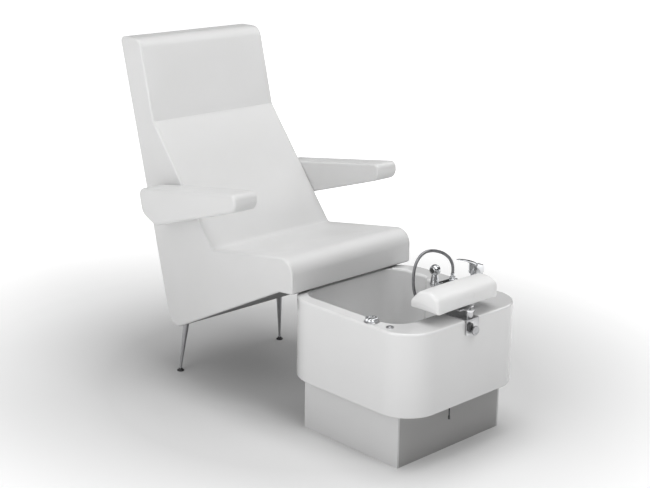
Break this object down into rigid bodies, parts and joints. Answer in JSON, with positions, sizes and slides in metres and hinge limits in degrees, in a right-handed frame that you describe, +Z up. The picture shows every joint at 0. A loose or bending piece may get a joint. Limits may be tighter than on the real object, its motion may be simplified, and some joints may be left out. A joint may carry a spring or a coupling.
{
  "type": "pedicure spa chair",
  "caption": "Upholstered pedicure chair on two rear legs, joined to a foot basin on a plinth with mixer tap, hand shower on a hose, rim controls and clamped footrest cushion.",
  "frame": {"origin": "centre of the underside of the plinth, on the floor", "axes": "-Y is the way the sitter faces, +X is the sitter's left, where the tap is, and +Z is up"},
  "size_m": [0.84, 1.6092, 1.333],
  "materials": {
    "leather_white": "smooth satin upholstery",
    "gelcoat_white": "glossy sanitary acrylic",
    "panel_white": "satin laminate",
    "chrome": "polished",
    "hose_metal": "dark ribbed metal hose",
    "black_plastic": "satin",
    "rubber": "matt",
    "steel_painted": "grey powder coat",
    "steel": "zinc plated",
    "plywood": "birch plywood",
    "pipe_grey": "moulded pipe",
    "brass": "turned"
  },
  "bodies": {
    "root": {"base_pan": "steel_painted", "plinth_posts": "steel_painted", "plinth_rails": "steel_painted", "plinth_front_panel": "panel_white", "plinth_side_panels": "panel_white", "plinth_rear_panel": "panel_white", "support_column": "steel_painted", "support_bolts": "steel", "basin_shell": "gelcoat_white", "basin_floor_panel": "panel_white", "drain_flange": "chrome", "drain_trap": "pipe_grey", "water_jets": "chrome", "circulation_pump": "black_plastic", "control_box": "pipe_grey", "water_inlets": "brass", "cable_gland": "black_plastic", "air_control_base": "chrome", "start_button_bezel": "chrome", "mixer_body": "chrome", "mixer_aerator": "chrome", "shower_holder": "chrome", "hose_union": "chrome", "shower_hose": "hose_metal", "clamp_bracket": "chrome", "clamp_pad": "rubber", "seat_pad": "leather_white", "back_pad": "leather_white", "head_pad": "leather_white", "side_cover_left": "leather_white", "side_cover_right": "leather_white", "rear_panel": "leather_white", "underside_panel": "leather_white", "carcass_sides": "plywood", "carcass_boards": "plywood", "carcass_rails": "plywood", "armrest_left": "leather_white", "armrest_right": "leather_white", "armrest_cores": "plywood", "armrest_bolts": "steel", "rear_legs": "chrome"},
    "air_knob": {"air_control_knob": "chrome"},
    "start_button_body": {"start_button": "chrome"},
    "mixer_cap_body": {"mixer_cap": "chrome"},
    "mixer_lever_body": {"mixer_lever": "chrome", "mixer_lever_pin": "steel"},
    "hand_shower": {"shower_hose_nut": "chrome", "shower_handle": "chrome", "shower_head": "chrome"},
    "drain_rod_body": {"drain_pull_rod": "black_plastic"},
    "drain_lever_body": {"drain_lever": "steel"},
    "drain_plug_body": {"drain_plug": "chrome"},
    "clamp_knob_body": {"clamp_knob": "black_plastic"},
    "thumbscrew_body": {"clamp_thumbscrew": "chrome"},
    "footrest_post_body": {"footrest_post": "chrome"},
    "footrest_top": {"footrest_plate": "chrome", "footrest_board": "panel_white", "footrest_cushion": "leather_white"},
    "glide_left_body": {"glide_left": "black_plastic"},
    "glide_right_body": {"glide_right": "black_plastic"}
  },
  "joints": [
    {"name": "air_control_turn", "type": "hinge", "parent": "root", "child": "air_knob", "pos_m": [-0.277, -0.104, 0.515], "axis": [0, 0, 1], "range_deg": [0, 180]},
    {"name": "start_button_press", "type": "slide", "parent": "root", "child": "start_button_body", "axis": [0, 0, -1], "range_m": [0, 0.004], "stiffness_N_per_m": 400, "springref_m": -0.002},
    {"name": "mixer_swing", "type": "hinge", "parent": "root", "child": "mixer_cap_body", "pos_m": [0.262, -0.111, 0.57], "axis": [0, 0, 1], "range_deg": [-45, 45]},
    {"name": "mixer_lift", "type": "hinge", "parent": "mixer_cap_body", "child": "mixer_lever_body", "pos_m": [0.262, -0.111, 0.592], "axis": [0, 1, 0], "range_deg": [0, 12]},
    {"name": "shower_lift", "type": "slide", "parent": "root", "child": "hand_shower", "axis": [0, 0, 1], "range_m": [0, 0.035]},
    {"name": "drain_pull", "type": "slide", "parent": "root", "child": "drain_rod_body", "axis": [0, 0, -1], "range_m": [0, 0.016]},
    {"name": "drain_lever_tilt", "type": "hinge", "parent": "root", "child": "drain_lever_body", "pos_m": [-0.03, -0.05533, 0.232], "axis": [1, 0, 0], "range_deg": [0, 5]},
    {"name": "drain_plug_lift", "type": "slide", "parent": "root", "child": "drain_plug_body", "axis": [0, 0, 1], "range_m": [0, 0.0085]},
    {"name": "clamp_knob_turn", "type": "hinge", "parent": "root", "child": "clamp_knob_body", "pos_m": [-0.02, -0.322, 0.484], "axis": [0, 1, 0], "range_deg": [-360, 360]},
    {"name": "thumbscrew_turn", "type": "hinge", "parent": "root", "child": "thumbscrew_body", "pos_m": [-0.001, -0.322, 0.469], "axis": [0, 1, 0], "range_deg": [-360, 360]},
    {"name": "footrest_height", "type": "slide", "parent": "root", "child": "footrest_post_body", "axis": [0, 0, 1], "range_m": [0, 0.015]},
    {"name": "footrest_swivel", "type": "hinge", "parent": "footrest_post_body", "child": "footrest_top", "pos_m": [0, -0.302, 0.542], "axis": [0, 0, 1], "range_deg": [-30, 30]},
    {"name": "glide_left_swivel", "type": "hinge", "parent": "root", "child": "glide_left_body", "pos_m": [-0.27, 0.979, 0.012], "axis": [0, 0, 1], "continuous": true},
    {"name": "glide_right_swivel", "type": "hinge", "parent": "root", "child": "glide_right_body", "pos_m": [0.27, 0.979, 0.012], "axis": [0, 0, 1], "continuous": true}
  ],
  "couplings": [
    {"joint": "drain_lever_tilt", "follows": "drain_pull", "rad_per_m": 4.9834},
    {"joint": "drain_plug_lift", "follows": "drain_pull", "ratio": 0.5}
  ]
}
